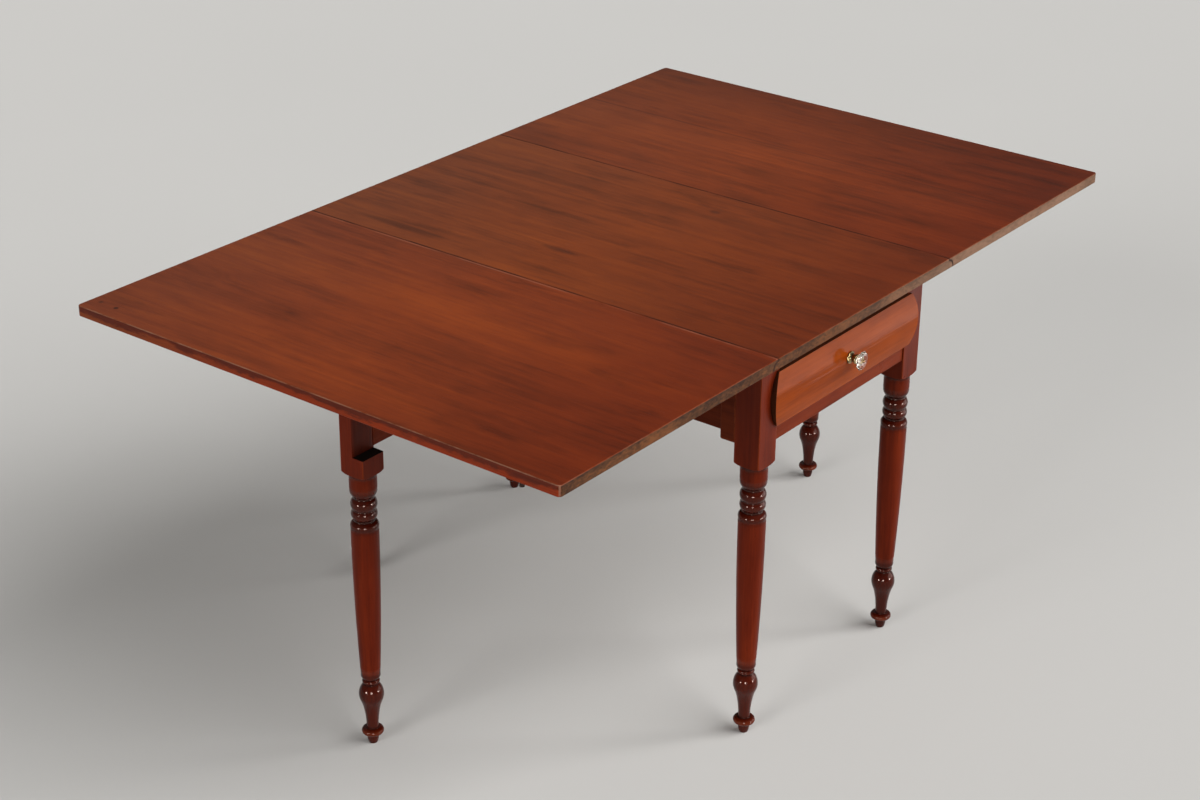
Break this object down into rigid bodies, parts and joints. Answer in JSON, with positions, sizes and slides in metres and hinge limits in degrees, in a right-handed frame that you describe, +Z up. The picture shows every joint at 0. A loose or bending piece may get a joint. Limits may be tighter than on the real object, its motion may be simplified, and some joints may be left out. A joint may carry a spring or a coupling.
{
  "type": "drop-leaf table",
  "caption": "Swing-leg drop-leaf table on turned legs, with rule-jointed leaves held up by pivoting legs and a swelled drawer with a glass knob in one end.",
  "frame": {"origin": "on the floor under the middle of the top", "axes": "+Z up, +X across the leaves, drawer end towards -Y"},
  "size_m": [1.606, 1.004, 0.735],
  "materials": {
    "top_wood": "gloss varnish",
    "leaf_wood": "gloss varnish",
    "leg_wood": "gloss varnish",
    "rail_wood": "satin varnish",
    "drawer_front_wood": "gloss varnish",
    "secondary_wood": "bare",
    "dark_wood": "bare",
    "iron": "dull",
    "brass": "worn polish",
    "glass": "pressed clear"
  },
  "bodies": {
    "frame": {"top_center": "top_wood", "back_rail": "rail_wood", "front_lower_rail": "rail_wood", "front_upper_rail": "secondary_wood", "glue_blocks": "secondary_wood", "leg_front_left": "leg_wood", "leg_front_right": "leg_wood", "leg_back_left": "leg_wood", "leg_back_right": "leg_wood", "side_rail_left": "secondary_wood", "side_rail_right": "secondary_wood", "outer_rail_left": "rail_wood", "outer_rail_right": "rail_wood", "stop_block_left": "rail_wood", "stop_block_right": "rail_wood", "gate_pin_left": "iron", "gate_pin_right": "iron", "drawer_runner_left": "secondary_wood", "drawer_runner_right": "secondary_wood", "drawer_kicker_left": "secondary_wood", "drawer_kicker_right": "secondary_wood", "hinge_plates_left": "iron", "hinge_plates_right": "iron", "hinge_pins_left": "iron", "hinge_pins_right": "iron", "hinge_plate_screws_left": "iron", "hinge_plate_screws_right": "iron"},
    "leaf_left": {"leaf_left": "leaf_wood", "hinge_flaps_left": "iron", "hinge_flap_screws_left": "iron", "leaf_peg": "dark_wood"},
    "gate_left": {"fly_rail_left": "rail_wood", "swing_leg_left": "leg_wood"},
    "leaf_right": {"leaf_right": "leaf_wood", "hinge_flaps_right": "iron", "hinge_flap_screws_right": "iron"},
    "gate_right": {"fly_rail_right": "rail_wood", "swing_leg_right": "leg_wood"},
    "drawer": {"drawer_front": "drawer_front_wood", "drawer_side_left": "secondary_wood", "drawer_side_right": "secondary_wood", "drawer_back": "secondary_wood", "drawer_bottom": "secondary_wood", "knob_glass": "glass", "knob_rose": "brass", "knob_bolt": "brass", "knob_nut": "iron"}
  },
  "joints": [
    {"name": "drawer_slide", "type": "slide", "parent": "frame", "child": "drawer", "axis": [0, -1, 0], "range_m": [0, 0.35]},
    {"name": "gate_left_swing", "type": "hinge", "parent": "frame", "child": "gate_left", "pos_m": [-0.2315, 0.046, 0.635], "axis": [0, 0, 1], "range_deg": [0, 90]},
    {"name": "gate_right_swing", "type": "hinge", "parent": "frame", "child": "gate_right", "pos_m": [0.2315, -0.046, 0.635], "axis": [0, 0, 1], "range_deg": [-4.3, 85.7]},
    {"name": "leaf_left_lift", "type": "hinge", "parent": "frame", "child": "leaf_left", "pos_m": [-0.26, 0, 0.7185], "axis": [0, 1, 0], "range_deg": [0, 2]},
    {"name": "leaf_right_lift", "type": "hinge", "parent": "frame", "child": "leaf_right", "pos_m": [0.26, 0, 0.7185], "axis": [0, -1, 0], "range_deg": [0, 2]}
  ]
}
